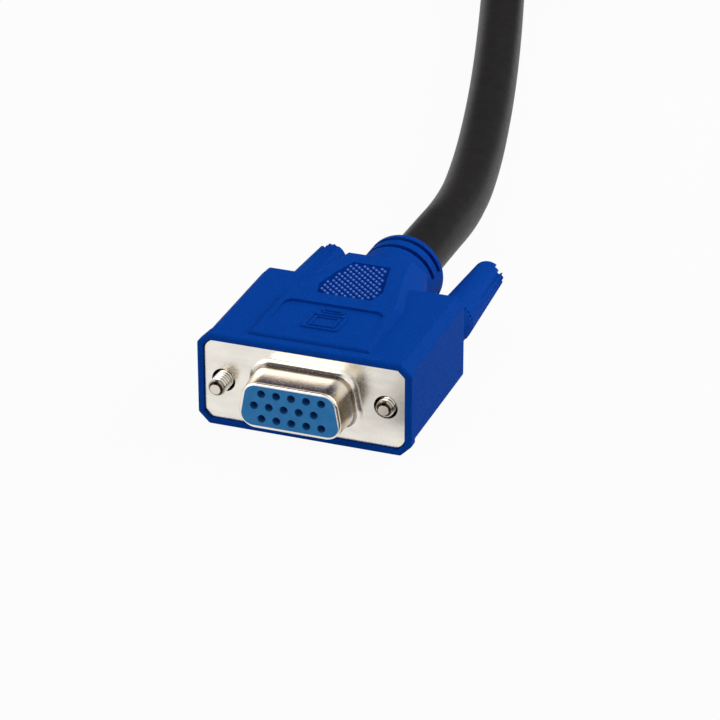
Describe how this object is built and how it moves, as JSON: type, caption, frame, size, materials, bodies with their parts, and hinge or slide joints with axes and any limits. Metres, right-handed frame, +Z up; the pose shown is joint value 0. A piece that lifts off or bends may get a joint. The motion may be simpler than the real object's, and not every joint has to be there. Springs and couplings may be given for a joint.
{
  "type": "kvm cable",
  "caption": "Shielded video cable with a blue moulded hood, a D-shaped socket of contact holes and captive thumbscrews; the spare length lies coiled with its matching plug.",
  "frame": {"origin": "middle of the socket's flange face, on the connector's own axis", "axes": "+X right seen from the front, +Y back along the cable, +Z up"},
  "size_m": [0.1118, 0.3191, 0.0326],
  "materials": {
    "hood_blue": "fine matte grain",
    "insulator_blue": "satin",
    "shell_nickel": "bright nickel",
    "screw_nickel": "bright nickel",
    "contact_gold": "gold flash",
    "core_grey": "matte",
    "jacket_black": "satin",
    "strap_black": "woven"
  },
  "bodies": {
    "cable": {"hood": "hood_blue", "front_shell": "shell_nickel", "rear_shell": "shell_nickel", "front_insulator": "insulator_blue", "rear_insulator": "insulator_blue", "contact_01": "contact_gold", "contact_02": "contact_gold", "contact_03": "contact_gold", "contact_04": "contact_gold", "contact_05": "contact_gold", "contact_06": "contact_gold", "contact_07": "contact_gold", "contact_08": "contact_gold", "contact_09": "contact_gold", "contact_10": "contact_gold", "contact_11": "contact_gold", "contact_12": "contact_gold", "contact_13": "contact_gold", "contact_14": "contact_gold", "contact_15": "contact_gold", "wire_bundle": "core_grey", "cable_lead": "jacket_black", "cable_coil": "jacket_black", "cable_tail": "jacket_black", "cable_tie": "strap_black", "plug_hood": "hood_blue", "plug_front_shell": "shell_nickel", "plug_rear_shell": "shell_nickel", "plug_insulator": "insulator_blue", "plug_rear_insulator": "insulator_blue", "plug_pins": "contact_gold", "plug_wire_bundle": "core_grey"},
    "left_clip": {"left_retaining_ring": "screw_nickel"},
    "left_thumbscrew": {"left_screw": "screw_nickel", "left_knob": "hood_blue"},
    "right_clip": {"right_retaining_ring": "screw_nickel"},
    "right_thumbscrew": {"right_screw": "screw_nickel", "right_knob": "hood_blue"},
    "plug_left_clip": {"plug_left_retaining_ring": "screw_nickel"},
    "plug_left_thumbscrew": {"plug_left_screw": "screw_nickel", "plug_left_knob": "hood_blue"},
    "plug_right_clip": {"plug_right_retaining_ring": "screw_nickel"},
    "plug_right_thumbscrew": {"plug_right_screw": "screw_nickel", "plug_right_knob": "hood_blue"}
  },
  "joints": [
    {"name": "left_float", "type": "slide", "parent": "cable", "child": "left_clip", "axis": [0, 1, 0], "range_m": [0, 0.004]},
    {"name": "left_turn", "type": "hinge", "parent": "left_clip", "child": "left_thumbscrew", "pos_m": [-0.01249, 0.0245, 0], "axis": [0, 1, 0], "continuous": true},
    {"name": "right_float", "type": "slide", "parent": "cable", "child": "right_clip", "axis": [0, 1, 0], "range_m": [-0.0022, 0.0018]},
    {"name": "right_turn", "type": "hinge", "parent": "right_clip", "child": "right_thumbscrew", "pos_m": [0.01249, 0.0267, 0], "axis": [0, 1, 0], "continuous": true},
    {"name": "plug_left_float", "type": "slide", "parent": "cable", "child": "plug_left_clip", "axis": [0, 1, 0], "range_m": [0, 0.004]},
    {"name": "plug_left_turn", "type": "hinge", "parent": "plug_left_clip", "child": "plug_left_thumbscrew", "pos_m": [0.02871, 0.2444, 0.0164], "axis": [0, 1, 0], "continuous": true},
    {"name": "plug_right_float", "type": "slide", "parent": "cable", "child": "plug_right_clip", "axis": [0, 1, 0], "range_m": [0, 0.004]},
    {"name": "plug_right_turn", "type": "hinge", "parent": "plug_right_clip", "child": "plug_right_thumbscrew", "pos_m": [0.05369, 0.2444, 0.0164], "axis": [0, 1, 0], "continuous": true}
  ]
}
